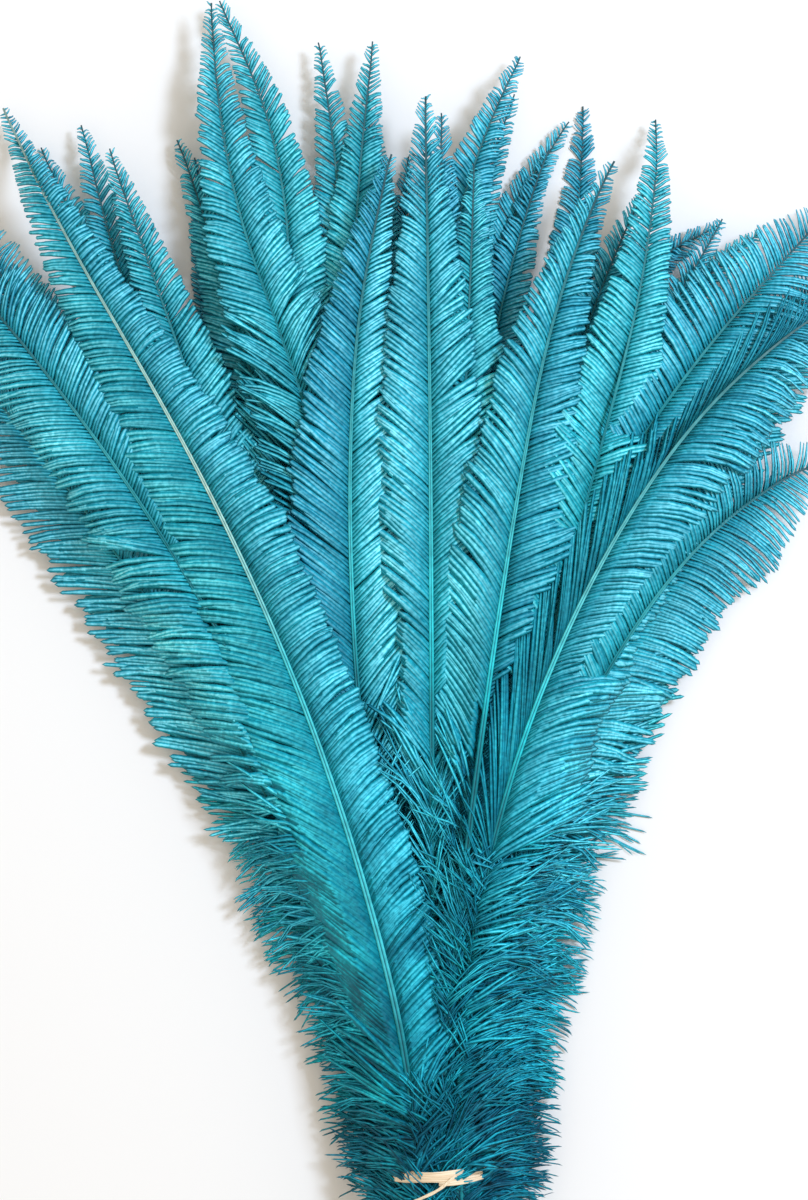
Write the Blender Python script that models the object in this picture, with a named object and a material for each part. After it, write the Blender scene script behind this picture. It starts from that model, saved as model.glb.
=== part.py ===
"""A tied bunch of dyed ostrich feathers, lying on a surface and fanned out from its tie.

Metres, +Z up. The bunch points along +Y with its quill ends towards -Y, the surface is z = 0, and the
origin is under the middle of the bunch. Each feather is one solid: a round quill and shaft with a flat
vane on both sides that reaches the ends of its barbs. The feathers lie in layers, as rows of shafts do
inside a tie, and the layers rise from the surface without touching.
"""

import math

import bmesh
import bpy
import numpy as np
from mathutils import Vector

# The bunch
TIE = Vector((0.0224, -0.2797, 0.0))  # where the tie stands on the surface
QUILL_BELOW_TIE = 0.085
QUILL_SCATTER = 0.006  # how unevenly the quill ends are gathered
SPREAD_START = 0.070  # the shafts leave the tie parallel, and fan out over this distance
BUNCH_HALF_WIDTH = 0.0195  # of the widest row of shafts inside the tie
LIFT_AT_TIE = 0.009
LIFT_ENDS = 0.120
LAYER_PITCH = (0.0050, 0.0062, 0.0052, 0.0042)  # height from one layer to the next ...
PITCH_REACH = (0.0, 0.180, 0.450, 0.660)  # ... at these distances from the tie

# One feather
QUILL_RADIUS = 0.0022
TIP_RADIUS = 0.0005
VANE_EDGE = 0.0008
BARE_ABOVE_TIE = 0.006  # where the fluff is squeezed flat against the quill
VANE_START = 0.018  # above the tie
TIP_HALF_WIDTH = 0.0012
STATIONS = 11  # along the vane
SIDE_GAP = 0.0010  # between one vane's edge and the line half way to the next shaft
TRACE_STEP = 0.002
EDGE_OPENS_OVER = 0.010  # half-width over which the round section becomes a flat one

# Each feather: aim from the tie to the tip in degrees right of +Y, reach to the tip in mm, bend of the
# whole shaft and extra hook near the tip in degrees, and vane widths to the left and right in mm.
# Layers run from the one on the surface upwards, and each is listed from left to right.
LAYERS = (
    (
        (-26, 385, -20, 0, 36, 30),
        (-14, 567, -4, 12, 28, 28),
        (-2, 564, 4, 4, 27, 27),
        (8, 597, -4, -4, 26, 26),
        (20, 365, 22, 0, 30, 42),
    ),
    (
        (-21, 607, -8, 0, 28, 26),
        (-13, 580, -28, 22, 30, 30),
        (-4, 601, -2, 0, 24, 24),
        (6.5, 595, 4, 35, 26, 26),
        (16, 571, 8, 60, 24, 24),
    ),
    (
        (-24, 540, -20, 0, 32, 30),
        (-14, 589, -6, -2, 26, 26),
        (6, 572, 14, 8, 28, 28),
        (15, 556, 8, 56, 24, 24),
        (22, 548, 38, 4, 30, 32),
    ),
    (
        (-27, 425, -22, 0, 36, 30),
        (-19, 612, -8, 14, 27, 27),
        (-7, 631, 26, -20, 27, 27),
        (3, 602, 10, 20, 26, 26),
        (18, 559, 3, 46, 28, 28),
    ),
    (
        (-26, 561, -22, -4, 28, 28),
        (-11, 664, 36, -44, 29, 29),
        (-4, 629, 18, 4, 30, 30),
        (11, 556, 16, 8, 27, 27),
        (23, 540, 36, 8, 32, 32),
    ),
    (
        (-28, 523, -20, 0, 34, 30),
        (-18, 592, -4, 0, 27, 27),
        (4, 626, 12, 22, 29, 29),
        (16, 552, 24, 6, 30, 34),
        (25, 440, 42, 14, 36, 38),
    ),
    (
        (-25, 574, -24, 26, 30, 28),
        (-10.5, 661, -30, 30, 31, 32),
        (-0.5, 584, 0, 2, 28, 28),
        (20, 586, 59, -4, 36, 36),
    ),
    (
        (-30, 521, -24, 0, 36, 32),
        (-3, 566, 24, 8, 34, 30),
        (1.5, 555, 2, 0, 28, 28),
        (20, 430, 30, 0, 32, 36),
    ),
    (
        (-27.5, 570, -30, 0, 34, 32),
        (-0.2, 592, -2, 0, 33, 32),
        (12, 596, 8, -16, 30, 28),
        (27, 462, 46, 20, 36, 40),
    ),
    (
        (-22, 639, -30, 12, 36, 27),
        (10, 567, 7, 14, 26, 36),
        (23, 540, 49, 12, 24, 38),
    ),
)

# The tie
TIE_WIDTH = 0.007
TIE_THICKNESS = 0.0012
TIE_HALF_HEIGHT = 0.0295
TIE_HALF_WIDTH = 0.0255
TIE_SEGMENTS = 40


def smooth(t):
    """0 to 1, level at both ends."""
    t = np.clip(t, 0.0, 1.0)
    return t * t * (3.0 - 2.0 * t)


def layer_height(layer, x, y):
    """The height of a layer's underside at a place given from the tie. It is the same rule for all layers,
    so no two of them meet."""
    reach = np.hypot(x, np.maximum(y, 0.0))
    pitch = np.interp(reach, PITCH_REACH, LAYER_PITCH)
    return LIFT_AT_TIE * (1.0 - smooth(reach / LIFT_ENDS)) + layer * pitch


def slot_offset(layer, index):
    """Where a shaft passes through the tie, sideways. The rows are widest half way up: the bunch is round."""
    row = LAYERS[layer]
    level = (layer - (len(LAYERS) - 1) / 2) / (len(LAYERS) / 2 + 0.5)
    half_width = BUNCH_HALF_WIDTH * math.sqrt(1.0 - level * level)
    return half_width * (2.0 * index / (len(row) - 1) - 1.0)


def trace(layer, index):
    """A shaft's run above the tie, in small steps: distance along it, x and y from the tie, and heading."""
    aim, reach, bend, hook, _, _ = LAYERS[layer][index]
    length = reach / 1000.0
    along = np.arange(0.0, length + TRACE_STEP, TRACE_STEP)
    part = along / length
    ramp = np.clip((part - 0.75) / 0.25, 0.0, 1.0) - 0.125
    heading = np.radians(aim + bend * (part - 0.5) + hook * ramp) * smooth(along / SPREAD_START)
    x = slot_offset(layer, index) + np.cumsum(np.sin(heading)) * TRACE_STEP
    y = np.cumsum(np.cos(heading)) * TRACE_STEP
    return along, x, y, heading


def vane_outline(part):
    """The vane's half-width as a share of its widest, from 0 at its start to 1 at the tip: a lance shape."""
    opening = 0.85 + 0.15 * smooth(part / 0.20)
    tapering = np.clip((1.0 - part) / 0.42, 0.0, 1.0) ** 0.72
    return opening * tapering


def half_room(x, y, neighbour):
    """Half the distance from a place on one shaft to the next shaft in its layer, less a gap."""
    _, near_x, near_y, _ = neighbour
    return np.hypot(near_x - x, near_y - y).min() / 2.0 - SIDE_GAP


def ring_points(x, y, z, heading, radius, left, right):
    """The eight corners of a cross-section: flat underneath, a vane edge on each side, the shaft on top."""
    corners = []
    for side, width in ((-1, left), (1, right)):
        width = max(width, radius)
        flat = min((width - radius) / EDGE_OPENS_OVER, 1.0)
        low = 0.6 * radius * (1.0 - flat)
        high = 1.4 * radius * (1.0 - flat) + VANE_EDGE * flat
        shoulder = 0.45 * radius * side
        edge = [(width * side, low), (width * side, high)]
        middle = [(shoulder, 0.0), (shoulder, 2.0 * radius)]
        if side < 0:
            corners += [middle[1], edge[1], edge[0], middle[0]]
        else:
            corners += [middle[0], edge[0], edge[1], middle[1]]
    across = Vector((math.cos(heading), -math.sin(heading), 0.0))
    centre = TIE + Vector((x, y, z))
    return [centre + across * u + Vector((0.0, 0.0, v)) for u, v in corners]


def feather_rings(layer, index):
    """The cross-sections of one feather, from its quill end to its tip."""
    row = LAYERS[layer]
    _, reach, _, _, left_mm, right_mm = row[index]
    length = reach / 1000.0
    path = trace(layer, index)
    before = trace(layer, index - 1) if index > 0 else None
    after = trace(layer, index + 1) if index < len(row) - 1 else None
    slot = slot_offset(layer, index)
    quill_end = -QUILL_BELOW_TIE - QUILL_SCATTER * math.sin(2.4 * index + 1.7 * layer)
    rings = []
    for y in (quill_end, BARE_ABOVE_TIE):
        z = layer_height(layer, slot, y)
        rings.append(ring_points(slot, y, z, 0.0, QUILL_RADIUS, 0.0, 0.0))
    for along in np.linspace(VANE_START, length, STATIONS):
        x, y, heading = (np.interp(along, path[0], column) for column in path[1:])
        part = (along - VANE_START) / (length - VANE_START)
        radius = QUILL_RADIUS + (TIP_RADIUS - QUILL_RADIUS) * part**0.9
        widths = []
        for widest, neighbour in ((left_mm, before), (right_mm, after)):
            width = max(widest / 1000.0 * vane_outline(part), TIP_HALF_WIDTH)
            if neighbour is not None:
                width = min(width, half_room(x, y, neighbour))
            widths.append(width)
        z = layer_height(layer, x, y)
        rings.append(ring_points(x, y, z, heading, radius, *widths))
    return rings


def loft(name, rings, closed_loop=False):
    """A mesh object through a row of cross-sections, capped at both ends or joined into a loop."""
    mesh = bmesh.new()
    edge_loops = []
    for ring in rings:
        verts = [mesh.verts.new(point) for point in ring]
        edge_loops.append([mesh.edges.new((a, b)) for a, b in zip(verts, verts[1:] + verts[:1])])
    if not closed_loop:
        for edges in (edge_loops[0], edge_loops[-1]):
            bmesh.ops.contextual_create(mesh, geom=edges)
    pairs = list(zip(edge_loops, edge_loops[1:]))
    if closed_loop:
        pairs.append((edge_loops[-1], edge_loops[0]))
    for first, second in pairs:
        bmesh.ops.bridge_loops(mesh, edges=first + second)
    bmesh.ops.recalc_face_normals(mesh, faces=mesh.faces)
    data = bpy.data.meshes.new(name)
    mesh.to_mesh(data)
    mesh.free()
    obj = bpy.data.objects.new(name, data)
    bpy.context.scene.collection.objects.link(obj)
    return obj


def give_material(obj, colour, roughness):
    """A plain Principled material of the object's own."""
    material = bpy.data.materials.new(obj.name)
    material.use_nodes = True
    shader = material.node_tree.nodes["Principled BSDF"]
    shader.inputs["Base Color"].default_value = (*colour, 1.0)
    shader.inputs["Roughness"].default_value = roughness
    shader.inputs["Metallic"].default_value = 0.0
    obj.data.materials.append(material)


def make_feather(number, layer, index):
    obj = loft(f"feather_{number:02d}", feather_rings(layer, index))
    depth = layer / (len(LAYERS) - 1)
    turquoise = (0.010 + 0.020 * depth, 0.180 + 0.120 * depth, 0.230 + 0.150 * depth)
    give_material(obj, turquoise, 0.55)


def make_tie():
    """A flat band of raffia round all the shafts, as a closed loop of rectangular sections."""
    middle_height = LIFT_AT_TIE + (len(LAYERS) - 1) * LAYER_PITCH[0] / 2 + QUILL_RADIUS
    centre = TIE + Vector((0.0, 0.0, middle_height))
    half = TIE_WIDTH / 2
    rings = []
    for step in range(TIE_SEGMENTS):
        angle = 2 * math.pi * step / TIE_SEGMENTS
        inner = Vector((TIE_HALF_WIDTH * math.cos(angle), 0.0, TIE_HALF_HEIGHT * math.sin(angle)))
        outer = inner + inner.normalized() * TIE_THICKNESS
        along = Vector((0.0, half, 0.0))
        inner, outer = centre + inner, centre + outer
        rings.append([inner - along, outer - along, outer + along, inner + along])
    obj = loft("raffia_tie", rings, closed_loop=True)
    give_material(obj, (0.80, 0.62, 0.40), 0.70)


def main():
    for obj in list(bpy.data.objects):
        bpy.data.objects.remove(obj)
    number = 0
    for layer, row in enumerate(LAYERS):
        for index in range(len(row)):
            number += 1
            make_feather(number, layer, index)
    make_tie()


main()
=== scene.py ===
"""The looks of a tied bunch of dyed ostrich feathers that lies on a pale surface.

Each feather of the CAD frame is replaced by one mesh: a grooved shaft and a few hundred curved barbs, each a
closed tapering strand. The shafts follow the cross-sections of the CAD feathers.
"""

import math
from types import SimpleNamespace

import bpy
import numpy as np
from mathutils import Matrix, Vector


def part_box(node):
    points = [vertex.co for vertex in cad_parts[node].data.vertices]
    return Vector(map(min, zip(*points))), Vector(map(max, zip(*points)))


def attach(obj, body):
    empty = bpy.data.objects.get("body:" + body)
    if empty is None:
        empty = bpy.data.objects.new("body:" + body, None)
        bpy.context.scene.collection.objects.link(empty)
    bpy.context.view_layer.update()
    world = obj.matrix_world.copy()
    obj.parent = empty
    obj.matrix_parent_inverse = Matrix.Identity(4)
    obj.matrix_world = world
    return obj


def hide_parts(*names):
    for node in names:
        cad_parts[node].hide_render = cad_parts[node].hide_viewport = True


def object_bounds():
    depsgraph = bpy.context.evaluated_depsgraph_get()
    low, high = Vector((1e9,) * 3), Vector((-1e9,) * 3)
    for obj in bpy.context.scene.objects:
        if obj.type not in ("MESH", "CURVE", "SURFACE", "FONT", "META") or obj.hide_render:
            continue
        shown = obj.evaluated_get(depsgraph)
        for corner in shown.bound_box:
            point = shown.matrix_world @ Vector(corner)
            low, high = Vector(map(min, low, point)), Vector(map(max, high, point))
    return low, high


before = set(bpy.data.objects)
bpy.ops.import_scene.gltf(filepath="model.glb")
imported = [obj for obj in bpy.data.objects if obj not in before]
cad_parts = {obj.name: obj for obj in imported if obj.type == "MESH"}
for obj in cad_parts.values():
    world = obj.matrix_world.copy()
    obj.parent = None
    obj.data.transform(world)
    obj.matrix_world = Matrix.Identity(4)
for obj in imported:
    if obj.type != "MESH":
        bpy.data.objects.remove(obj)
cad_low, cad_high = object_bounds()
tie_low, tie_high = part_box("raffia_tie")
TIE = np.array((tie_low + tie_high) / 2)
TIE[2] = 0.0

# Lengths are in metres and angles in degrees, unless a comment says otherwise.
FEATHERS = sorted(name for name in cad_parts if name.startswith("feather_"))
TOP_PROUD = 0.009  # how far the fluff may rise over the CAD box
FLOOR_GAP = 0.0003

# Shafts
QUILL_END = 0.0001  # vertices this near to the lowest one belong to the end of the quill
FIRST_CUT = 0.001
WALK_STEP = 0.008
RIDGE_DEPTH = 0.0001
PATH_STEP = 0.002
EVEN_OVER = 0.050
SHAFT_STEP = 0.010
QUILL_TAPER = 0.55  # the width of the quill's cut end, as a share
GROOVED_FROM = 0.0008  # shafts with a smaller radius have no painted shade in the groove
GROOVED_OVER = 0.0005
SHOWS_OVER = 0.06
BARE_WIDTH = 1.10  # width of the shafts of the feathers on top, as a share of the CAD's
HIDDEN_WIDTH = 0.85

# Where barbs leave the shaft
BELOW_TIE = -0.030  # where the fluff starts, along the shaft from the tie
BELOW_TIP = 0.002
PITCH = 0.00195
STEEP = 0.60  # sine of the angle under which barbs don't leave the shaft any further apart
OPEN_TIP = 0.2  # how much further apart barbs are at the tip
OPEN_TIP_OVER = 0.040
DENSE_LOW = 0.62  # how near together they are low down, as a share
DENSE_UNTIL = 0.150
DENSE_OVER = 0.100
PLACE_JITTER = 0.2
SEATED = 0.2  # they start this share of the shaft's radius above its middle

# How combed they are
SHOWN_BEFORE = 0.050  # barbs are combed from this far below the place where the shaft starts to show
SHOWN_OVER = 0.060
COMBED_FROM = 0.16  # and elsewhere from this far above the tie, nearly
COMBED_MOST = 0.86
COMBED_OVER = 0.10
TIP_OVER = 0.055
CLUMP_SIZES = (3, 8)
OUTER_FROM = 0.140  # feathers that end further to a side than this have an outer vane

# Their angles from the shaft
LOOSE_OUTER = (46, 90)  # where a tangled barb leaves and where it ends
LOOSE_INNER = (24, 46)
LEAVE_WITHIN = (8, 95)
END_WITHIN = (10, 125)
TIP_CLOSED = 22  # barbs at the tip leave the shaft this much nearer to it
TIP_END_CLOSED = 16
CURLED_TIP = 92  # where the most curled barbs at a tip end
SWEPT_LOW = 0.32  # combed barbs low down lie nearer to the shaft by this share
SWEPT_FROM = 0.14
SWEPT_OVER = 0.22
SWEPT_FLUFF = 0.20  # so does the fluff of the middle feathers
TILT_TANGLED = 10
ROLL_MEAN = 10

# How far they reach
POINTED = (0.42, 0.72)  # a vane narrows over this share of its length, by this power
BLUNT = (0.15, 0.50)  # the same for a feather that ends bluntly
BLUNT_FROM = 0.228  # feathers that end further to a side than this end bluntly
LOW_REACH = 0.88  # as a share, rising to full over the first part of the feather
LOW_REACH_OVER = 0.20
FLARE = 0.45  # how much longer the lowest barbs of outer vanes are on the right
FLARE_UNTIL = 0.090
FLARE_OVER = 0.120
LOWEST_REACH = 0.70  # how far the lowest barbs reach, as a share
LOWEST_OVER = 0.035
TIP_REACH_LOSS = 0.35
SHORTEST = 0.002
LONGEST_TANGLED = 1.35  # the length of a barb is at most this many times its vane's reach
LONGEST_COMBED_MORE = 3.0

# Their curves
NODES = np.array((0.0, 0.21, 0.45, 0.71, 0.96, 1.0))  # places along a barb
WHOLE_TURN = 6.28  # radians
CLING_COMBED = 0.05  # how far a barb's end is drawn to the middle of its clump, as a share
CLING_TIP = 0.30
CLING_TANGLED = 0.36
CLING_MOST = 0.9
SWAY_COMBED = 0.0005
SWAY_TANGLED = 0.0022
CROSSING = 0.006  # how far over the shaft a tangled barb may start
SLOW_WAVE = 0.045
SLOW_LIFT = 0.035
DROOP_TIP = 0.15
TANGLED_LIFT = 0.0015
LOWEST_SPREAD = (0.0004, 0.0020)  # where barbs are stopped above the floor gap
HIGHEST_SPREAD = (0.0008, 0.0040)  # and below the greatest height

# Their width and shade
BARB_WIDTH = 1.95  # as a share of the pitch
WIDTH_PLACES = (0, 0.12, 0.5, 1)  # places along a barb, and its width there as a share
WIDTH_SHARES = (0.50, 0.85, 1.0, 0.95)
FINE_OVER = 0.09  # barbs get finer over this distance from the tip
FINEST = 0.34
FINEST_OUT = 0.45  # the outer part of a barb gets finer still
TANGLED_WIDTH = 0.50
TANGLED_THIN = (0.20, 0.50)  # what the last two nodes before the end of a tangled barb lose
FLUFF_THIN = 0.35  # what the fluff of the middle feathers loses
UNEVEN_WIDTH = (0.80, 1.15)
STRAND_HEIGHT = 0.15  # as a share of the width
PAINTED_DEPTH_SHADE = 0.30  # painted shade: how much darker the middle feathers are low down, where others lie over them, except those on top
DEPTH_SHADE_UNTIL = 0.50
DEPTH_SHADE_OVER = 0.20
COVER_PAINTED_SHADE = 0.45  # painted shade: how much darker barbs under a vane are
END_RIDGE = 0.8  # how near to the ridge the end of a barb counts as, for its painted highlight
MAP_COLUMNS = 4  # columns of bands on the colour map, for each vane
MAP_SHARE = 0.48  # the share of the colour map's width for each vane

# How the sides of the bunch are let down towards the surface
SETTLE = 0.72  # the share of their height that the outermost barbs lose
SETTLE_INSIDE = 0.012
SETTLE_OVER = 0.052
SIDES_STEP = 0.010
SIDES_OVER = 0.080

# How other feathers' barbs pass under the feathers on top
PRESS_NEAR = 0.004  # to each side of a bare shaft
PRESS_UNDER = 0.0012
PRESS_SLOPE = 0.35
PRESS_FADE = 0.03  # below the bare part of the shaft they are let go over this distance
PRESS_FREE = 0.06  # and may pass this far above the shaft
TOPMOST = "feather_43"  # passes under none
# How far the vanes of a feather lie on top of all the others, left and right of its shaft
COVERS = {
    "feather_36": (0.0, 0.022),
    "feather_43": (0.030, 0.022),
    "feather_44": (0.024, 0.0),
    "feather_45": (0.026, 0.0),
}
COVER_GAP = 0.003
COVER_SLOPE = 0.22
COVER_SHADE = 0.004  # barbs this far down under a vane get the most painted shade


def smooth(t):
    t = np.clip(t, 0.0, 1.0)
    return t * t * (3.0 - 2.0 * t)


# ---------------------------------------------------------------- shafts, from the frame

def cut_across(vertices, edges, point, forward):
    """Where the edges of a CAD feather cross an upright plane through a point."""
    ahead = (vertices - point) @ forward
    a, b = edges[(ahead[edges[:, 0]] < 0) != (ahead[edges[:, 1]] < 0)].T
    share = (ahead[a] / (ahead[a] - ahead[b]))[:, None]
    return vertices[a] + (vertices[b] - vertices[a]) * share


def walk(name):
    """Walks up the shaft of a CAD feather: its middle, radius and reach to each side, step by step."""
    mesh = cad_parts[name].data
    vertices = np.array([v.co[:] for v in mesh.vertices])
    edges = np.array([e.vertices[:] for e in mesh.edges])
    quill = vertices[vertices[:, 1] < vertices[:, 1].min() + QUILL_END]
    point, forward = quill.mean(0) + (0.0, FIRST_CUT, 0.0), np.array((0.0, 1.0, 0.0))
    found = []
    while True:
        cut = cut_across(vertices, edges, point, forward)
        if not len(cut):
            break
        across = np.array((forward[1], -forward[0], 0.0))
        spread = (cut - point) @ across
        top, bottom = cut[:, 2].max(), cut[:, 2].min()
        ridge = spread[cut[:, 2] > top - RIDGE_DEPTH]
        centre = point + across * (ridge.min() + ridge.max()) / 2
        centre[2] = (top + bottom) / 2
        if found:
            run = (centre - found[-1][:3]) * (1, 1, 0)
            forward = run / np.linalg.norm(run)
        middle = (centre - point) @ across
        found.append((*centre, (top - bottom) / 2, middle - spread.min(), spread.max() - middle))
        point = centre + forward * WALK_STEP
    beyond = ((vertices - centre) @ forward).max()
    found.append((*(centre + forward * beyond), *found[-1][3:]))
    return np.array(found)


def evened(values, along, reach):
    """Values smoothed over a distance to both sides, with the ends kept."""
    weights = np.clip(1 - np.abs(along[:, None] - along) / reach, 0, 1)
    near_end = np.minimum(along - along[0], along[-1] - along)[:, None]
    weights *= np.abs(along[:, None] - along) <= near_end + 1e-9
    return (weights / weights.sum(1)[:, None]) @ values


def shaft_of(name):
    """The run of a feather's shaft in small steps, with its distance from the tie, directions and radius."""
    found = walk(name)
    known = np.concatenate(([0.0], np.cumsum(np.hypot(*np.diff(found[:, :2], axis=0).T))))
    known -= np.interp(TIE[1], found[:, 1], known)
    along = np.append(np.arange(known[0], known[-1], PATH_STEP), known[-1])
    rough = np.column_stack([np.interp(along, known, column) for column in found[:, :4].T])
    fine = evened(rough, along, EVEN_OVER)
    points = fine[:, :3]
    forward = np.gradient(points, along, axis=0)
    forward /= np.linalg.norm(forward, axis=1)[:, None]
    side = np.column_stack((forward[:, 1], -forward[:, 0], np.zeros(len(along))))
    side /= np.linalg.norm(side, axis=1)[:, None]
    return SimpleNamespace(
        along=along,
        length=along[-1],
        points=points,
        forward=forward,
        side=side,
        up=np.cross(side, forward),
        radius=fine[:, 3],
        left=found[:, 4].max(),
        right=found[:, 5].max(),
    )


def at(shaft, name, distance):
    """A column of the shaft's run, read at distances from the tie."""
    values = getattr(shaft, name)
    if values.ndim == 1:
        return np.interp(distance, shaft.along, values)
    return np.column_stack([np.interp(distance, shaft.along, column) for column in values.T])


# ---------------------------------------------------------------- mesh
# Each vertex of a plume carries marks: its place along the feather, its distance out along the barb, the tone
# of the barb with painted shade where other feathers lie over it, how near it is to the barb's ridge, which
# sets its painted highlight, and the hue of the barb, each 0 to 1.

def tube_mesh(rings, marks, flat):
    """A closed tube through rings of points.

    flat is where the tube lies on the colour map: left, right, low, high.
    """
    count, corners = rings.shape[:2]
    grid = np.arange(count * corners).reshape(count, corners)
    after = np.roll(grid, -1, axis=1)
    quads = np.stack((grid[:-1], after[:-1], after[1:], grid[1:]), -1)
    first = np.stack((after[0], grid[0], np.full(corners, grid.size)), -1)
    final = np.stack((grid[-1], after[-1], np.full(corners, grid.size + 1)), -1)
    left, right, low, high = flat
    u = left + (right - left) * np.arange(corners + 1) / corners
    v = low + (high - low) * (0.01 + 0.98 * np.arange(count)[:, None] / (count - 1))
    u, v = np.broadcast_arrays(u, v)
    around = np.stack((u, v), -1)
    quad_map = np.stack((around[:-1, :-1], around[:-1, 1:], around[1:, 1:], around[1:, :-1]), 2)
    beyond = around + (0.0, 0.005 * (high - low))
    before = around - (0.0, 0.005 * (high - low))
    third_map = np.concatenate(
        (
            np.stack((around[0, 1:], around[0, :-1], before[0, :-1]), 1),
            np.stack((around[-1, :-1], around[-1, 1:], beyond[-1, :-1]), 1),
        )
    )
    return SimpleNamespace(
        points=np.concatenate((rings.reshape(-1, 3), [rings[0].mean(0), rings[-1].mean(0)])),
        marks=np.concatenate((marks.reshape(-1, 5), [marks[0].mean(0), marks[-1].mean(0)])),
        quads=quads.reshape(-1, 4),
        thirds=np.concatenate((first, final)),
        quad_map=quad_map.reshape(-1, 4, 2),
        third_map=third_map,
    )


def strand_mesh(paths, widths, normals, marks, bands):
    """Closed three-sided strands, each with a ridge on top and ending in one point.

    paths is strand by node by xyz. bands has each strand's place on the colour map: left, right, low, high.
    Both upper faces lie on the same place, with the ridge high and the edge low, and the face below lies
    under them.
    """
    strands, nodes = paths.shape[:2]
    ahead = np.gradient(paths, axis=1)
    ahead /= np.linalg.norm(ahead, axis=2, keepdims=True)
    across = np.cross(ahead, normals)
    across /= np.linalg.norm(across, axis=2, keepdims=True)
    above = np.cross(across, ahead)
    half = widths[..., None] / 2
    ridge = paths + above * half * 2 * STRAND_HEIGHT
    ring = np.stack((ridge, paths + across * half, paths - across * half), 2)
    ring, ring_marks = ring[:, :-1], np.repeat(marks[:, :-1, None], 3, axis=2)
    ring_marks[..., 3] = (1.0, 0.0, 0.0)
    per_strand = 3 * (nodes - 1) + 1
    grid = np.arange(3 * (nodes - 1)).reshape(nodes - 1, 3) + np.arange(strands)[:, None, None] * per_strand
    after = np.roll(grid, -1, axis=2)
    quads = np.stack((grid[:, :-1], after[:, :-1], after[:, 1:], grid[:, 1:]), -1)
    ends = np.broadcast_to(grid[:, -1, :1] + 3, (strands, 3))
    tips = np.stack((grid[:, -1], after[:, -1], ends), -1)
    thirds = np.concatenate((tips, grid[:, :1, ::-1]), axis=1)
    left, right, low, high = (bands[:, i, None, None] for i in range(4))
    under = low - (high - low) * 0.25
    u = left + (right - left) * (0.03 + 0.97 * np.arange(nodes)[:, None] / (nodes - 1))
    near = np.concatenate((high, low, low), 2)
    far = np.concatenate((low, under, high), 2)
    here, there, near, far = np.broadcast_arrays(u[:, :-1], u[:, 1:], near, far)
    corners = (here, near), (here, far), (there, far), (there, near)
    quad_map = np.stack([np.stack(corner, -1) for corner in corners], 3)[:, :-1]
    corners = (here, near), (here, far), (there, (near + far) / 2)
    tip_map = np.stack([np.stack(corner, -1) for corner in corners], 3)[:, -1]
    corners = (u[:, 0, 0], low[:, 0, 0]), (u[:, 0, 0], high[:, 0, 0]), (left[:, 0, 0], high[:, 0, 0])
    cap_map = np.stack([np.stack(corner, -1) for corner in corners], 1)[:, None]
    return SimpleNamespace(
        points=np.concatenate((ring.reshape(strands, -1, 3), paths[:, -1:]), axis=1).reshape(-1, 3),
        marks=np.concatenate((ring_marks.reshape(strands, -1, 5), marks[:, -1:]), axis=1).reshape(-1, 5),
        quads=quads.reshape(-1, 4),
        thirds=thirds.reshape(-1, 3),
        quad_map=quad_map.reshape(-1, 4, 2),
        third_map=np.concatenate((tip_map, cap_map), axis=1).reshape(-1, 3, 2),
    )


def joined(parts):
    """Several parts as one."""
    base = np.cumsum([0] + [len(part.points) for part in parts])
    return SimpleNamespace(
        points=np.concatenate([part.points for part in parts]),
        marks=np.concatenate([part.marks for part in parts]),
        quads=np.concatenate([part.quads + offset for part, offset in zip(parts, base)]),
        thirds=np.concatenate([part.thirds + offset for part, offset in zip(parts, base)]),
        quad_map=np.concatenate([part.quad_map for part in parts]),
        third_map=np.concatenate([part.third_map for part in parts]),
    )


def make_object(name, parts, materials):
    """One mesh object from several parts, each with its own material."""
    whole = joined(parts)
    whole.points[:, 2] = np.clip(whole.points[:, 2], FLOOR_GAP, cad_high[2] + TOP_PROUD)
    corners = np.concatenate((whole.quads.ravel(), whole.thirds.ravel()))
    sides = np.repeat((4, 3), (len(whole.quads), len(whole.thirds)))
    slots = [np.full(len(part.quads), i) for i, part in enumerate(parts)]
    slots += [np.full(len(part.thirds), i) for i, part in enumerate(parts)]
    mesh = bpy.data.meshes.new(name)
    mesh.vertices.add(len(whole.points))
    mesh.vertices.foreach_set("co", whole.points.astype(np.float32).ravel())
    mesh.loops.add(len(corners))
    mesh.loops.foreach_set("vertex_index", corners.astype(np.int32))
    mesh.polygons.add(len(sides))
    mesh.polygons.foreach_set("loop_start", (np.cumsum(sides) - sides).astype(np.int32))
    mesh.polygons.foreach_set("loop_total", sides.astype(np.int32))
    mesh.polygons.foreach_set("material_index", np.concatenate(slots).astype(np.int32))
    mesh.polygons.foreach_set("use_smooth", np.ones(len(sides), bool))
    mesh.update(calc_edges=True)
    for attribute, columns in (("growth", slice(0, 3)), ("strand", slice(2, 5))):
        made = mesh.attributes.new(attribute, "FLOAT_VECTOR", "POINT")
        made.data.foreach_set("vector", whole.marks[:, columns].astype(np.float32).ravel())
    layer = mesh.uv_layers.new(name="OFBake")
    places = np.concatenate((whole.quad_map.ravel(), whole.third_map.ravel()))
    layer.uv.foreach_set("vector", places.astype(np.float32))
    for material in materials:
        mesh.materials.append(material)
    obj = bpy.data.objects.new(name, mesh)
    bpy.context.scene.collection.objects.link(obj)
    return obj


# ---------------------------------------------------------------- the bunch

def bunch_sides(shafts):
    """How far left and right the shafts reach, by distance from the tie along y."""
    y = np.arange(tie_low[1], cad_high[1], SIDES_STEP)
    left, right = np.zeros(len(y)), np.zeros(len(y))
    for shaft in shafts.values():
        x = np.interp(y, shaft.points[:, 1], shaft.points[:, 0], right=TIE[0])
        left, right = np.minimum(left, x), np.maximum(right, x)
    return y, evened(left, y, SIDES_OVER), evened(right, y, SIDES_OVER)


def settled(points, sides):
    """Points let down towards the surface along the sides of the bunch, as soft fluff lies."""
    y, left, right = sides
    x, down = points[..., 0], points[..., 1]
    out = np.maximum(np.interp(down, y, left) - x, x - np.interp(down, y, right)) + SETTLE_INSIDE
    points[..., 2] *= 1 - SETTLE * smooth(out / SETTLE_OVER)
    return points


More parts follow.
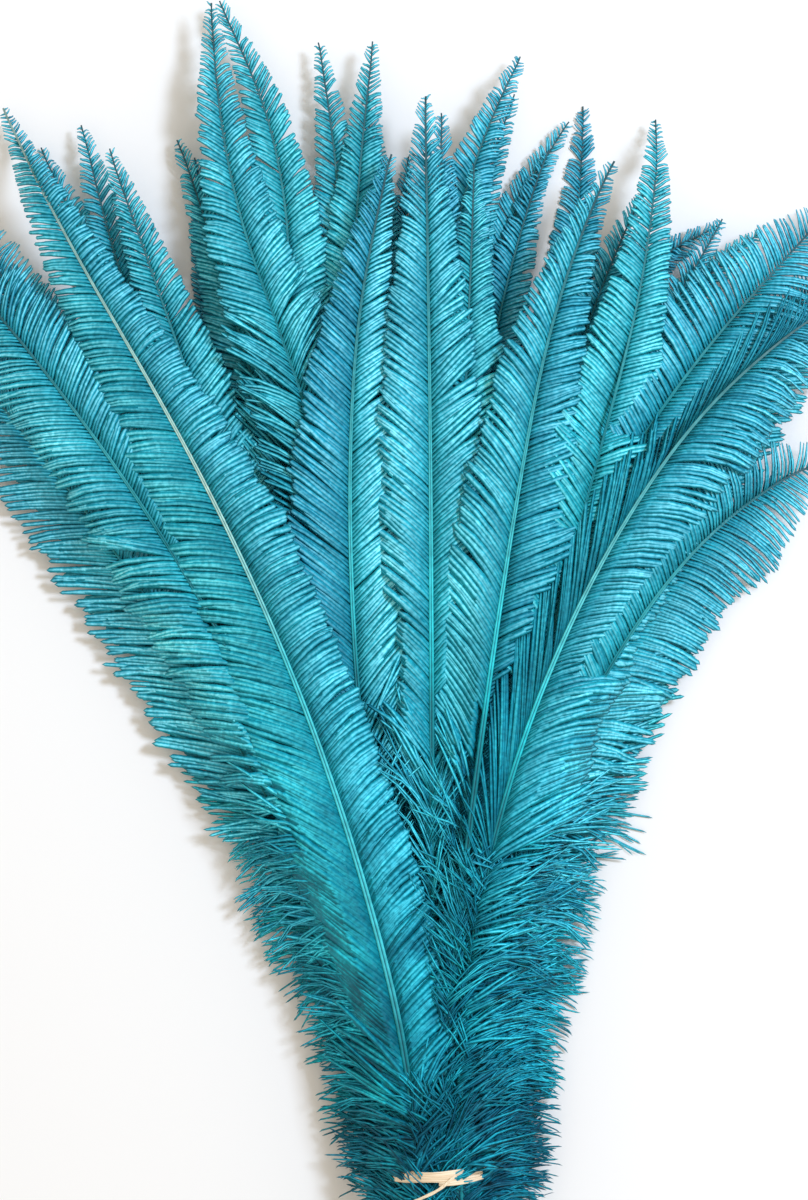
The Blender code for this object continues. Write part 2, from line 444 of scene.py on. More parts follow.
def pressed(paths, name, shafts):
    """Barbs of one feather let down under the bare shafts and the vanes of the feathers on top.

    Also says how far each place on a barb is under such a vane, 0 to 1, which sets the painted shade there.
    """
    x, y = paths[..., 0], paths[..., 1]
    under_vane_shade = np.zeros(x.shape)
    for crest, combing in COMBED.items():
        if name in (crest, TOPMOST):
            continue
        shaft = shafts[crest]
        start = at(shaft, "points", [combing["bare_from"]])[0, 1]
        run = shaft.points[:, 1]
        gap = (x - np.interp(y, run, shaft.points[:, 0])) * np.interp(y, run, shaft.forward[:, 1])
        away = np.abs(gap)
        over = PRESS_SLOPE * np.where(gap * gap[..., :1] < 0, -away, np.maximum(away - PRESS_NEAR, 0.0))
        left, right = COVERS.get(crest, (0.0, 0.0))
        spread = vane_outline(((y - run[0]) / (run[-1] - run[0])).clip(0, 1), False)
        under = away < np.where(gap < 0, left, right) * spread
        over = np.where(under, -COVER_GAP - COVER_SLOPE * away, over)
        over = over + PRESS_FREE * (1 - smooth((y - start + PRESS_FADE) / PRESS_FADE))
        over = np.where(y > run[-1], 1.0, over)
        limit = np.interp(y, run, shaft.points[:, 2]) - PRESS_UNDER + over
        under_vane_shade = np.maximum(under_vane_shade, under * smooth((paths[..., 2] - limit) / COVER_SHADE))
        paths[..., 2] = np.minimum(paths[..., 2], limit)
    return paths, under_vane_shade


# ---------------------------------------------------------------- feathers

SHAFT_PROFILE = np.array(  # round below, with a groove along the top, as shares of the radius
    [(0.0, 0.50), (-0.30, 0.98), (-0.74, 0.80), (-1.0, 0.10), (-0.70, -0.72), (0.0, -1.0)]
    + [(0.70, -0.72), (1.0, 0.10), (0.74, 0.80), (0.30, 0.98)]
)
SHAFT_LIGHT = (0.0, 1.0, 1.0, 0.5, 0.0, 0.0, 0.0, 0.5, 1.0, 1.0)  # painted shade: dark in the groove and below
SHAFT_BAND = (0.965, 0.998, 0.004, 0.996)  # its place on the colour map


def shaft_part(shaft, look, sides):
    """The shaft and bare quill as a grooved tube."""
    along = np.concatenate((np.arange(shaft.along[0], shaft.length, SHAFT_STEP), [shaft.length]))
    middle = at(shaft, "points", along)
    side, up = at(shaft, "side", along), at(shaft, "up", along)
    radius = at(shaft, "radius", along) * look.shaft_width
    radius[0] *= QUILL_TAPER
    middle = settled(middle, sides)
    middle[:, 2] = np.maximum(middle[:, 2], radius + FLOOR_GAP)
    rings = (
        middle[:, None]
        + side[:, None] * (SHAFT_PROFILE[:, 0] * radius[:, None])[..., None]
        + up[:, None] * (SHAFT_PROFILE[:, 1] * radius[:, None])[..., None]
    )
    marks = np.zeros((*rings.shape[:2], 5))
    marks[..., 0] = (along / shaft.length)[:, None]
    marks[..., 1] = SHAFT_LIGHT
    marks[:, 0, 1] = 1 - smooth((radius - GROOVED_FROM) / GROOVED_OVER)
    marks[..., 2] = smooth((along - look.bare_from) / SHOWS_OVER)[:, None]
    marks[..., 4] = look.shaft_tone
    return tube_mesh(rings[:, ::-1], marks[:, ::-1], SHAFT_BAND)


def places_along(start, end, pitch, rng):
    """Where barbs leave the shaft: nearly evenly, but denser low down and further apart near the tip."""
    s = np.linspace(start, end, 800)
    open_tip = 1 + OPEN_TIP * np.exp(-(end - s) / OPEN_TIP_OVER)
    dense_low = DENSE_LOW + (1 - DENSE_LOW) * smooth((s - DENSE_UNTIL) / DENSE_OVER)
    spacing = pitch * open_tip * dense_low
    count = np.concatenate(([0.0], np.cumsum(np.diff(s) / spacing[:-1])))
    wanted = np.arange(0.5, count[-1] - 0.3)
    wanted = wanted + rng.uniform(-PLACE_JITTER, PLACE_JITTER, len(wanted))
    return np.interp(wanted, count, s)


def clumps(count, smallest, largest, rng):
    """Numbers the barbs by the clump they cling to."""
    sizes = rng.integers(smallest, largest + 1, count)
    return np.repeat(np.arange(count), sizes)[:count]


def bands_for(count, sign):
    """Each barb's band on the colour map, on which the left vane lies to the left of the right vane."""
    rows = math.ceil(count / MAP_COLUMNS)
    column, row = np.divmod(np.arange(count), rows)
    wide = MAP_SHARE / MAP_COLUMNS
    left = (0.0 if sign < 0 else MAP_SHARE) + column * wide + 0.001
    low = (row + 0.25) / rows
    return np.column_stack((left, left + wide - 0.003, low, low + 0.65 / rows))


def vane_outline(part, blunt):
    """The vane's reach by place along the feather, as a share: full below, narrowing to the tip."""
    over, power = BLUNT if blunt else POINTED
    low = LOW_REACH + (1 - LOW_REACH) * smooth(part / LOW_REACH_OVER)
    return low * np.clip((1 - part) / over, 0.0, 1.0) ** power


class Row:
    """The barbs to one side of a feather: where each leaves the shaft, how combed it is, and its clump."""

    def __init__(self, shaft, look, sign, slant, rng):
        self.shaft, self.look, self.sign, self.rng = shaft, look, sign, rng
        self.s = places_along(BELOW_TIE, shaft.length - BELOW_TIP, PITCH / max(slant, STEEP), rng)
        self.count = len(self.s)
        self.part = self.s / shaft.length
        bare = smooth((self.s - look.bare_from + SHOWN_BEFORE) / SHOWN_OVER)
        self.combed = np.maximum(bare, COMBED_MOST * smooth((self.s - COMBED_FROM) / COMBED_OVER))
        self.tangled = 1 - self.combed
        self.fluffy = 1 - bare
        self.to_tip = shaft.length - self.s
        self.tip_like = np.exp(-self.to_tip / TIP_OVER)
        self.group = clumps(self.count, *CLUMP_SIZES, rng)
        self.outer = sign * shaft.points[-1, 0] > OUTER_FROM
        self.inner = abs(shaft.points[-1, 0]) < OUTER_FROM

    def each(self, combed, tangled):
        """A draw for each barb, with one spread where barbs are combed and another where they are tangled."""
        return self.rng.normal(0, 1, self.count) * (combed * self.combed + tangled * self.tangled)

    def per_clump(self, combed, tangled):
        """The same, but with one draw for all the barbs of a clump."""
        drawn = self.rng.normal(0, 1, self.group.max() + 1)
        return drawn[self.group] * (combed * self.combed + tangled * self.tangled)

    def flat_draw(self, low, high):
        """An even draw for each clump."""
        return self.rng.uniform(low, high, self.group.max() + 1)[self.group]


def barb_angles(row, start_angle, end_angle):
    """The angles from the shaft, in radians, at which each barb leaves it and ends."""
    turned = row.per_clump(0.8, 10.0) + row.each(1.5, 8.0)
    loose_start, loose_last = LOOSE_OUTER if row.outer else LOOSE_INNER
    curl = (CURLED_TIP - end_angle) * row.look.tip_curl - TIP_END_CLOSED
    first = start_angle * row.combed + loose_start * row.tangled - TIP_CLOSED * row.tip_like + turned
    last = end_angle * row.combed + loose_last * row.tangled + curl * row.tip_like
    low_down = row.combed * (1 - smooth((row.s - SWEPT_FROM) / SWEPT_OVER))
    swept = 1 - SWEPT_LOW * low_down - SWEPT_FLUFF * row.fluffy * row.inner
    first, last = first * swept, last * swept
    last = last + turned + row.per_clump(2.6, 15.0) + row.each(2.2, 14.0)
    return np.radians(first.clip(*LEAVE_WITHIN)), np.radians(last.clip(*END_WITHIN))


def barb_reach(row, reach):
    """How far out from the shaft each barb goes."""
    blunt = abs(row.shaft.points[-1, 0]) > BLUNT_FROM
    lowest = LOWEST_REACH + (1 - LOWEST_REACH) * smooth((row.s - BELOW_TIE) / LOWEST_OVER)
    outline = vane_outline(row.part.clip(0), blunt) * lowest
    flare = FLARE if row.outer and row.sign > 0 else 0.0
    outline = outline * (1 + flare * (1 - smooth((row.s - FLARE_UNTIL) / FLARE_OVER)))
    uneven = 1 + row.per_clump(0.035, 0.20 if row.outer else 0.10) + row.each(0.035, 0.09)
    return reach * outline * uneven * (1 - TIP_REACH_LOSS * row.tip_like) + SHORTEST


def curved(row, first, last, wanted, reach):
    """Each barb as a curve in the vane's plane: how far out from the shaft and how far along it, by node."""
    middles = (NODES[1:] + NODES[:-1]) / 2
    angle = first[:, None] + (last - first)[:, None] * middles**0.9
    step = np.diff(NODES)
    zero = np.zeros((row.count, 1))
    outward = np.concatenate((zero, np.cumsum(np.sin(angle) * step, axis=1)), axis=1)
    onward = np.concatenate((zero, np.cumsum(np.cos(angle) * step, axis=1)), axis=1)
    longest = reach * (LONGEST_TANGLED + LONGEST_COMBED_MORE * row.combed)
    length = np.minimum(wanted / outward[:, -1].clip(0.25), longest)
    return outward * length[:, None], onward * length[:, None]


def clung(row, outward, onward):
    """The curves drawn together in clumps, a little wavy, and crossing where they are tangled."""
    in_group = np.bincount(row.group)
    middle = (np.bincount(row.group, row.s) / np.maximum(in_group, 1))[row.group]
    cling = (CLING_COMBED + CLING_TIP * row.tip_like) * row.combed + CLING_TANGLED * row.tangled
    cling = np.clip(cling + row.per_clump(0.04, 0.12), 0.0, CLING_MOST)
    onward = onward - (cling * (row.s - middle))[:, None] * NODES**1.5
    wave = row.flat_draw(0, WHOLE_TURN)[:, None] + row.rng.uniform(0, 1.5, row.count)[:, None]
    sway = (SWAY_COMBED * row.combed + SWAY_TANGLED * row.tangled)[:, None]
    onward = onward + sway * np.sin(wave + 6 * NODES) * NODES
    crossing = row.tangled * row.flat_draw(0.0, CROSSING)
    outward = outward - crossing[:, None] * (1 - NODES)
    return outward, onward, wave


def barb_heights(row, wanted, wave):
    """How far each node of a barb rises over the vane's plane."""
    slow = np.sin(row.s / SLOW_WAVE + row.look.phase) * SLOW_LIFT
    lift = row.look.lift + slow + row.per_clump(0.008, 0.09) + row.each(0.010, 0.025)
    droop = row.look.droop + slow + row.per_clump(0.008, 0.06) + DROOP_TIP * row.tip_like
    tangled = row.tangled[:, None]
    height = wanted[:, None] * (lift[:, None] * NODES - droop[:, None] * NODES**2) + TANGLED_LIFT * tangled
    return height + SWAY_TANGLED * tangled * np.sin(wave * 1.7 + 5 * NODES) * NODES


def barb_widths(row, slant):
    """How wide each barb is at each node."""
    fine = 1 - np.exp(-row.to_tip / FINE_OVER)
    widths = np.interp(NODES, WIDTH_PLACES, WIDTH_SHARES)[None] * np.ones((row.count, 1))
    widths[:, 2:-1] *= (FINEST_OUT + (1 - FINEST_OUT) * fine)[:, None] ** np.array((0.3, 0.7, 1.3))
    widths[:, 3:5] *= 1 - row.tangled[:, None] * TANGLED_THIN
    uneven = row.rng.uniform(*UNEVEN_WIDTH, row.count)
    share = BARB_WIDTH * (FINEST + (1 - FINEST) * fine) * (row.combed + TANGLED_WIDTH * row.tangled)
    share = share * uneven * (1 - FLUFF_THIN * row.fluffy * row.inner)
    share = share * min(slant / STEEP, 1.0) ** 0.8
    return widths * PITCH * share[:, None]


def barb_marks(row, name, hue, shade, under_vane_shade):
    """What the material reads from each node of a barb."""
    marks = np.zeros((row.count, len(NODES), 5))
    marks[..., 0] = row.part[:, None]
    marks[..., 1] = NODES
    hidden = row.inner and name not in COMBED
    # painted shade on the middle feathers low down, where other feathers lie over them
    depth_shade = hidden * PAINTED_DEPTH_SHADE * (1 - smooth((row.part - DEPTH_SHADE_UNTIL) / DEPTH_SHADE_OVER))
    tone = shade - depth_shade + row.each(0.10, 0.10) + row.per_clump(0.04, 0.22)
    # painted shade where a barb passes under a vane on top
    marks[..., 2] = np.clip(tone[:, None] - COVER_PAINTED_SHADE * under_vane_shade, 0, 1)
    marks[..., 3] = END_RIDGE
    marks[..., 4] = hue + (row.part - 0.5)[:, None] * 0.5
    return marks


def vane_part(name, shafts, look, sides, sign, rng):
    """The barbs to one side of a feather, as strands."""
    shaft = shafts[name]
    reach, start_angle, end_angle, hue, shade = look.left if sign < 0 else look.right
    slant = math.sin(math.radians((start_angle + end_angle) / 2))
    row = Row(shaft, look, sign, slant, rng)
    first, last = barb_angles(row, start_angle, end_angle)
    wanted = barb_reach(row, reach)
    outward, onward, wave = clung(row, *curved(row, first, last, wanted, reach))
    height = barb_heights(row, wanted, wave)

    tilt = np.radians(sign * look.roll + row.per_clump(0.6, 9.0) + TILT_TANGLED * row.tangled)[:, None]
    sideways = outward * np.cos(tilt) - height * np.sin(tilt)
    upwards = outward * np.sin(tilt) + height * np.cos(tilt)
    forward, side, up = (at(shaft, way, row.s)[:, None] for way in ("forward", "side", "up"))
    origin = at(shaft, "points", row.s) + up[:, 0] * (at(shaft, "radius", row.s) * SEATED)[:, None]
    paths = origin[:, None] + forward * onward[..., None] + side * sign * sideways[..., None]
    paths = settled(paths + up * upwards[..., None], sides)
    paths, under_vane_shade = pressed(paths, name, shafts)
    lowest = FLOOR_GAP + rng.uniform(*LOWEST_SPREAD, row.count)[:, None]
    highest = cad_high[2] + TOP_PROUD - rng.uniform(*HIGHEST_SPREAD, row.count)[:, None]
    paths[..., 2] = np.clip(paths[..., 2], lowest, highest)

    roll = np.radians(ROLL_MEAN + row.each(4, 9) + row.per_clump(1, 16))[:, None, None]
    flat = up * np.cos(tilt)[..., None] - side * sign * np.sin(tilt)[..., None]
    normals = np.broadcast_to(forward * -np.sin(roll) + flat * np.cos(roll), paths.shape)
    widths = barb_widths(row, slant)
    marks = barb_marks(row, name, hue, shade, under_vane_shade)
    return strand_mesh(paths, widths, normals, marks, bands_for(row.count, sign))


# How the vanes of the feathers on top are combed. Left and right: the reach, the angles from the shaft at
# which a barb leaves and ends, the hue from green (0) to blue (1) and the tone from dark (0) to bright (1).
# bare_from is how far from the tie the shaft starts to show.
COMBED = {
    "feather_43": dict(
        left=(0.036, 52, 70, 0.35, 0.42),
        right=(0.028, 64, 98, 0.55, 0.42),
        bare_from=0.066, lift=0.26, droop=0.40,
    ),
    "feather_36": dict(
        left=(0.034, 49, 54, 0.70, 0.38),
        right=(0.030, 48, 54, 0.55, 0.95),
        bare_from=0.270, lift=0.10, droop=0.12,
    ),
    "feather_40": dict(
        left=(0.032, 46, 56, 0.55, 0.58),
        right=(0.031, 46, 56, 0.45, 0.58),
        bare_from=0.245, lift=0.12, droop=0.16,
    ),
    "feather_44": dict(
        left=(0.030, 36, 56, 0.45, 0.50),
        right=(0.033, 58, 66, 0.50, 0.28),
        bare_from=0.225, lift=0.08, droop=0.18,
    ),
    "feather_45": dict(
        left=(0.022, 15, 20, 0.25, 0.05),
        right=(0.038, 44, 84, 0.50, 0.42),
        bare_from=0.190, lift=0.14, droop=0.26, roll=9,
    ),
    "feather_42": dict(
        left=(0.036, 56, 78, 0.40, 0.50),
        right=(0.040, 64, 94, 0.50, 0.50),
        bare_from=0.290, lift=0.10, droop=0.24,
    ),
    "feather_34": dict(
        left=(0.036, 62, 80, 0.55, 0.55),
        right=(0.036, 50, 70, 0.50, 0.55),
        bare_from=0.430, lift=0.16, droop=0.14,
    ),
    "feather_39": dict(
        left=(0.034, 50, 70, 0.45, 0.60),
        right=(0.032, 52, 70, 0.50, 0.60),
        bare_from=0.375,
    ),
}


def look_of(name, shaft, rng):
    """How one feather is combed: its entry in COMBED, over values drawn for it."""
    start, end = rng.uniform(44, 54), rng.uniform(56, 68)
    hue, tone = rng.uniform(0.25, 0.65), rng.uniform(0.45, 0.65)
    drawn = dict(
        left=(max(shaft.left, 0.028), start, end, hue, tone),
        right=(max(shaft.right, 0.028), start + rng.uniform(-4, 4), end + rng.uniform(-4, 4), hue, tone),
        bare_from=shaft.length * rng.uniform(0.62, 0.75),
        lift=rng.uniform(0.08, 0.16),
        droop=rng.uniform(0.12, 0.22),
        roll=rng.normal(0, 4),
        shaft_tone={"feather_43": 1.0, "feather_45": 0.25}.get(name, 0.1),
    )
    return SimpleNamespace(
        **(drawn | COMBED.get(name, {})),
        phase=rng.uniform(0, WHOLE_TURN),
        tip_curl=rng.uniform(0.0, 0.9),
        shaft_width=BARE_WIDTH if name in COMBED else HIDDEN_WIDTH,
    )


# ---------------------------------------------------------------- materials

def new_material(name):
    material = bpy.data.materials.new(name)
    material.use_nodes = True
    tree = material.node_tree
    return material, tree, tree.nodes["Principled BSDF"]


def node(tree, kind, **settings):
    made = tree.nodes.new(kind)
    for key, value in settings.items():
        setattr(made, key, value)
    return made


def ramp(tree, source, stops):
    made = node(tree, "ShaderNodeValToRGB")
    elements = made.color_ramp.elements
    while len(elements) < len(stops):
        elements.new(0.5)
    for element, (position, colour) in zip(elements, stops):
        element.position = position
        element.color = (*colour, 1.0)
    tree.links.new(source, made.inputs["Fac"])
    return made.outputs["Color"]


def mixed(tree, blend, factor, first, second):
    made = node(tree, "ShaderNodeMix", data_type="RGBA", blend_type=blend)
    if isinstance(factor, float):
        made.inputs["Factor"].default_value = factor
    else:
        tree.links.new(factor, made.inputs["Factor"])
    for socket, value in (("A", first), ("B", second)):
        target = [i for i in made.inputs if i.name == socket and i.type == "RGBA"][0]
        if isinstance(value, tuple):
            target.default_value = (*value, 1.0)
        else:
            tree.links.new(value, target)
    return [o for o in made.outputs if o.type == "RGBA"][0]


def times(tree, colour, factor):
    return mixed(tree, "MULTIPLY", 1.0, colour, factor)


def marks_of(tree, name):
    """The three parts of a mark that the mesh carries."""
    attribute = node(tree, "ShaderNodeAttribute", attribute_name=name)
    split = node(tree, "ShaderNodeSeparateXYZ")
    tree.links.new(attribute.outputs["Vector"], split.inputs["Vector"])
    return split.outputs


def noise_of(tree, scale, detail):
    noise = node(tree, "ShaderNodeTexNoise")
    noise.inputs["Scale"].default_value = scale
    noise.inputs["Detail"].default_value = detail
    coordinates = node(tree, "ShaderNodeTexCoord")
    tree.links.new(coordinates.outputs["Object"], noise.inputs["Vector"])
    return noise.outputs["Fac"]


def shifted(tree, source, amount):
    made = node(tree, "ShaderNodeMath", operation="ADD")
    tree.links.new(source, made.inputs[0])
    made.inputs[1].default_value = amount
    return made.outputs[0]


def grey(value):
    return (value, value, value)


def barb_material():
    """Dye, green low down and blue high up, with painted highlights on the barbs' ridges and painted shade
    between them.
    """
    material, tree, shader = new_material("barb_dye_and_painted_light")
    place, out, _ = marks_of(tree, "growth")
    tone, ridge, hue = marks_of(tree, "strand")
    wool = noise_of(tree, scale=420.0, detail=3.0)
    # the ridge mark, broken by noise, sets a painted highlight along each barb's ridge and painted shade
    # towards its edges
    ridge_with_noise = node(tree, "ShaderNodeMath", operation="MULTIPLY_ADD")
    tree.links.new(wool, ridge_with_noise.inputs[0])
    ridge_with_noise.inputs[1].default_value = 0.5
    tree.links.new(shifted(tree, ridge, -0.25), ridge_with_noise.inputs[2])
    painted_ridge_light = ramp(
        tree,
        ridge_with_noise.outputs[0],
        (
            (0.05, (0.010, 0.365, 0.480)),
            (0.25, (0.025, 0.430, 0.550)),
            (0.42, (0.008, 0.350, 0.465)),
            (0.70, (0.060, 0.490, 0.610)),
            (0.90, (0.150, 0.620, 0.740)),
        ),
    )
    near_shaft = ramp(tree, out, ((0.0, grey(0.90)), (0.18, grey(0.60)), (0.45, grey(0.0))))
    colour = mixed(tree, "MIX", near_shaft, painted_ridge_light, (0.005, 0.350, 0.460))
    tint = ramp(tree, hue, ((0.0, (0.20, 0.90, 0.78)), (0.5, (1.0, 0.98, 0.98)), (1.0, (1.10, 0.86, 1.00))))
    colour = times(tree, colour, tint)
    brightness = ramp(tree, tone, ((0.0, (0.14, 0.50, 0.58)), (0.5, grey(1.0)), (1.0, (1.70, 1.42, 1.36))))
    colour = times(tree, colour, brightness)
    # painted light across the vane: painted shade near the shaft, a painted highlight over the middle and
    # painted shadow at the barbs' ends
    band = ramp(
        tree,
        out,
        ((0.0, grey(0.85)), (0.30, grey(0.92)), (0.65, grey(1.15)), (0.90, grey(1.05)), (1.0, grey(0.80))),
    )
    colour = times(tree, colour, band)
    broad = noise_of(tree, scale=28.0, detail=2.0)
    patches = ramp(tree, broad, ((0.35, (0.70, 0.82, 0.84)), (0.65, (1.20, 1.14, 1.12))))
    colour = times(tree, colour, patches)
    fuzz = ramp(tree, wool, ((0.35, grey(0.80)), (0.65, grey(1.18))))
    colour = times(tree, colour, fuzz)
    lower = ramp(
        tree,
        place,
        ((0.0, (0.14, 0.56, 0.68)), (0.12, (0.26, 0.82, 0.92)), (0.32, (0.60, 0.96, 1.03)), (0.5, grey(1.0))),
    )
    colour = times(tree, colour, lower)
    # painted shade in patches low down, in the hollow parts of the tangled fluff
    hollow_pattern = noise_of(tree, scale=55.0, detail=3.0)
    painted_hollow_shade = ramp(tree, hollow_pattern, ((0.38, (0.15, 0.42, 0.48)), (0.56, grey(1.0))))
    low_down = ramp(tree, place, ((0.10, grey(0.8)), (0.32, grey(0.0))))
    colour = mixed(tree, "MULTIPLY", low_down, colour, painted_hollow_shade)
    tree.links.new(colour, shader.inputs["Base Color"])
    shader.inputs["Roughness"].default_value = 0.5
    shader.inputs["Specular IOR Level"].default_value = 0.15
    return material


def shaft_material():
    """Grooved shafts, turquoise or pale where they show, with painted shade: dark teal where the fluff hides
    them.
    """
    material, tree, shader = new_material("shaft_dye_and_painted_shade")
    place, out, shows = marks_of(tree, "growth")
    _, _, pale = marks_of(tree, "strand")
    bright = ramp(
        tree,
        place,
        (
            (0.0, (0.006, 0.510, 0.610)),
            (0.55, (0.012, 0.600, 0.670)),
            (0.75, (0.006, 0.330, 0.380)),
            (0.95, (0.003, 0.070, 0.100)),
        ),
    )
    cream = ramp(tree, place, ((0.46, grey(0.10)), (0.62, grey(0.9)), (0.85, grey(0.5))))
    pale_share = mixed(tree, "MULTIPLY", 1.0, cream, pale)
    colour = mixed(tree, "MIX", pale_share, bright, (0.50, 0.72, 0.62))
    # painted shade where the fluff hides the shaft
    colour = mixed(tree, "MIX", shows, (0.004, 0.200, 0.240), colour)
    # painted shade in the groove and on the underside of the shaft
    groove = ramp(tree, out, ((0.0, (0.04, 0.20, 0.26)), (0.85, grey(1.0))))
    colour = times(tree, colour, groove)
    fibres = ramp(tree, noise_of(tree, scale=240.0, detail=2.0), ((0.3, grey(0.80)), (0.7, grey(1.15))))
    colour = times(tree, colour, fibres)
    tree.links.new(colour, shader.inputs["Base Color"])
    shader.inputs["Roughness"].default_value = 0.4
    shader.inputs["Specular IOR Level"].default_value = 0.2
    return material


def raffia_material():
    """Pale raffia with fine fibres along it."""
    material, tree, shader = new_material("raffia")
    attribute = node(tree, "ShaderNodeAttribute", attribute_name="growth")
    stretched = node(tree, "ShaderNodeVectorMath", operation="MULTIPLY")
    tree.links.new(attribute.outputs["Vector"], stretched.inputs[0])
    stretched.inputs[1].default_value = (30.0, 6.0, 9.0)
    noise = node(tree, "ShaderNodeTexNoise")
    noise.inputs["Scale"].default_value = 1.0
    noise.inputs["Detail"].default_value = 4.0
    tree.links.new(stretched.outputs["Vector"], noise.inputs["Vector"])
    colour = ramp(
        tree,
        noise.outputs["Fac"],
        ((0.30, (0.50, 0.33, 0.17)), (0.48, (0.86, 0.68, 0.46)), (0.70, (0.97, 0.86, 0.68))),
    )
    tree.links.new(colour, shader.inputs["Base Color"])
    shader.inputs["Roughness"].default_value = 0.55
    return material


# ---------------------------------------------------------------- raffia

RAFFIA_WIDTH = 0.0036
RAFFIA_THICKNESS = 0.0007
TURNS = (-0.30, 3.25)  # where the strip starts and ends
WRAP_SUNK = 0.0004
WRAP_CLIMB = 0.00035  # each turn lies this much further out
WRAP_FROM = 0.0040
WRAP_STEP = 0.0017  # and this much further towards the quills
LOOSE_WIDTH = 0.0017
LOOSE_POINTS = ((9, 4, 0), (5, 1, 2.2), (0, -4, 2.4), (-10, -8, 3), (-22, -14, -2))
RIBBON_PROFILE = np.array(  # a flat strip, a little folded, as shares of half its width and thickness
    [(-1.0, 0.0), (-0.85, 0.8), (-0.35, 1.0), (0.1, 0.5), (0.5, 1.0)]
    + [(0.9, 0.7), (1.0, 0.0), (0.6, -0.9), (-0.6, -0.9)]
)


def ribbon_part(path, outward, width, thickness, flat, tone):
    """A strip of raffia along a path, lying with its flat side outward."""
    ahead = np.gradient(path, axis=0)
    ahead /= np.linalg.norm(ahead, axis=1)[:, None]
    across = np.cross(ahead, outward)
    across /= np.linalg.norm(across, axis=1)[:, None]
    outward = np.cross(across, ahead)
    share = np.sin(np.linspace(0.15, math.pi - 0.15, len(path))) ** 0.25
    half = width / 2 * share * (1 + 0.10 * np.sin(np.arange(len(path)) * 0.9 + 9 * tone))
    rings = (
        path[:, None]
        + across[:, None] * (RIBBON_PROFILE[:, 0] * half[:, None])[..., None]
        + outward[:, None] * (RIBBON_PROFILE[:, 1] * thickness / 2)[:, None]
    )
    marks = np.zeros((*rings.shape[:2], 5))
    marks[..., 0] = np.linspace(0, 1, len(path))[:, None]
    marks[..., 1] = RIBBON_PROFILE[:, 0]
    marks[..., 2] = tone
    return tube_mesh(rings[:, ::-1], marks[:, ::-1], flat)


def wraps_part():
    """The strip that goes three and a half times round the shafts."""
    turn = np.linspace(*TURNS, 150)
    angle = 2 * math.pi * turn
    half_width = (tie_high[0] - tie_low[0]) / 2 - WRAP_SUNK + WRAP_CLIMB * turn
    half_height = (tie_high[2] - tie_low[2]) / 2 - WRAP_SUNK + WRAP_CLIMB * turn
    sway = 0.0016 * np.sin(angle + 0.6) + 0.0005 * np.sin(2.7 * angle)
    path = np.column_stack(
        (
            TIE[0] + half_width * np.cos(angle),
            TIE[1] + WRAP_FROM - WRAP_STEP * turn + sway,
            (tie_high[2] + tie_low[2]) / 2 + half_height * np.sin(angle),
        )
    )
    outward = np.column_stack((np.cos(angle), np.zeros(len(angle)), np.sin(angle)))
    return ribbon_part(path, outward, RAFFIA_WIDTH, RAFFIA_THICKNESS, (0.02, 0.48, 0.01, 0.99), 0.2)


def loose_end(flat, tone, points, width):
    """A loose end of raffia through a few points, given in millimetres from the middle of the tie's top."""
    top = np.array((TIE[0], TIE[1], tie_high[2]))
    known = np.array(points) / 1000
    share = np.linspace(0, len(known) - 1, 30)
    straight = np.column_stack([np.interp(share, range(len(known)), column) for column in known.T])
    path = top + evened(straight, share, 1.2)
    outward = np.broadcast_to((0.10, 0.15, 1.0), path.shape)
    return ribbon_part(path, outward, width, RAFFIA_THICKNESS, flat, tone)


def make_raffia():
    parts = [wraps_part(), loose_end((0.52, 0.73, 0.01, 0.99), 0.5, LOOSE_POINTS, LOOSE_WIDTH)]
    obj = make_object("raffia_wraps", [joined(parts)], (raffia_material(),))
    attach(obj, "root")
    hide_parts("raffia_tie")


# ---------------------------------------------------------------- making

def make_feathers():
    materials = (shaft_material(), barb_material())
    shafts = {name: shaft_of(name) for name in FEATHERS}
    sides = bunch_sides(shafts)
    for name, shaft in shafts.items():
        rng = np.random.default_rng(int(name[-2:]))
        look = look_of(name, shaft, rng)
        barbs = joined([vane_part(name, shafts, look, sides, sign, rng) for sign in (-1.0, 1.0)])
        parts = (shaft_part(shaft, look, sides), barbs)
        obj = make_object("plume_" + name[-2:], parts, materials)
        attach(obj, "root")
        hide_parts(name)


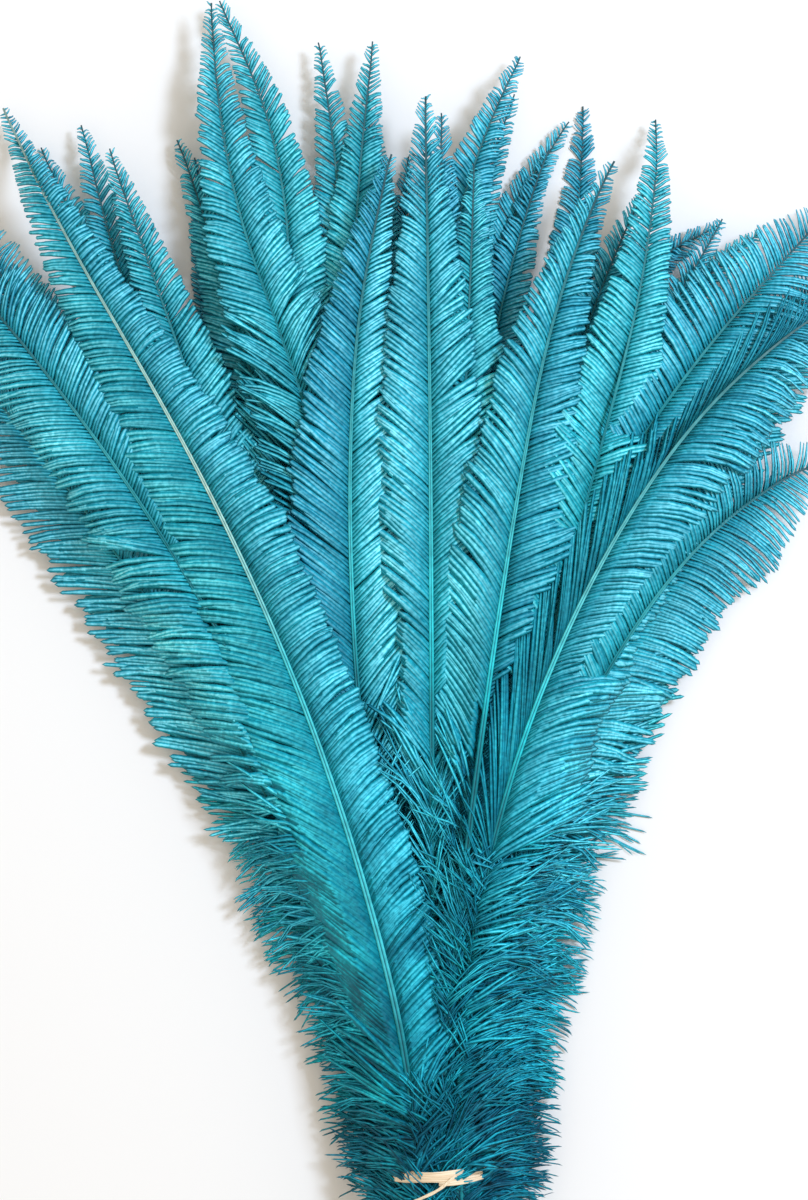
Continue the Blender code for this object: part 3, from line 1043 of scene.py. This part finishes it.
FLOOR_REACH = 6.0
FLOOR_TONE = 0.90
SKY_COLOUR = (1.0, 0.91, 0.78)
SKY_STRENGTH = 0.76
CAMERA_ABOVE = 1.9
SEEN_AT = 0.040  # the height of the plane in which the camera sees SEEN_HEIGHT from edge to edge
SEEN_HEIGHT = 0.660
SEEN_MIDDLE = (-0.019, 0.3165)  # the middle of the picture, from the tie
SENSOR = 36.0


def make_stage():
    mesh = bpy.data.meshes.new("floor")
    far = FLOOR_REACH
    corners = [(-far, -far, 0), (far, -far, 0), (far, far, 0), (-far, far, 0)]
    mesh.from_pydata(corners, [], [(0, 1, 2, 3)])
    floor = bpy.data.objects.new("floor", mesh)
    bpy.context.scene.collection.objects.link(floor)
    material, _, shader = new_material("floor")
    shader.inputs["Base Color"].default_value = (*grey(FLOOR_TONE), 1.0)
    shader.inputs["Roughness"].default_value = 0.9
    mesh.materials.append(material)


def area_light(name, direction, distance, size, power, colour, target):
    light = bpy.data.lights.new(name, "AREA")
    light.shape = "DISK"
    light.size = size
    light.energy = power
    light.color = colour
    obj = bpy.data.objects.new(name, light)
    way = Vector(direction).normalized()
    obj.location = target + way * distance
    obj.rotation_euler = way.to_track_quat("Z", "Y").to_euler()
    bpy.context.scene.collection.objects.link(obj)


def make_lights():
    world = bpy.data.worlds.new("studio")
    world.use_nodes = True
    background = world.node_tree.nodes["Background"]
    background.inputs["Color"].default_value = (*SKY_COLOUR, 1.0)
    background.inputs["Strength"].default_value = SKY_STRENGTH
    bpy.context.scene.world = world
    target = Vector((0.0, 0.05, 0.0))
    area_light(
        "key",
        direction=(0.69, 0.37, 1.0),
        distance=2.4,
        size=0.55,
        power=45.0,
        colour=(0.70, 0.82, 1.0),
        target=target,
    )


def make_camera():
    camera = bpy.data.cameras.new("camera")
    camera.sensor_width = SENSOR
    camera.lens = camera.sensor_width * CAMERA_ABOVE / SEEN_HEIGHT
    obj = bpy.data.objects.new("camera", camera)
    obj.location = (TIE[0] + SEEN_MIDDLE[0], TIE[1] + SEEN_MIDDLE[1], SEEN_AT + CAMERA_ABOVE)
    bpy.context.scene.collection.objects.link(obj)
    bpy.context.scene.camera = obj


make_camera()
make_feathers()
make_raffia()
make_stage()
make_lights()
bpy.context.scene.view_settings.view_transform = "Standard"

bpy.context.view_layer.update()
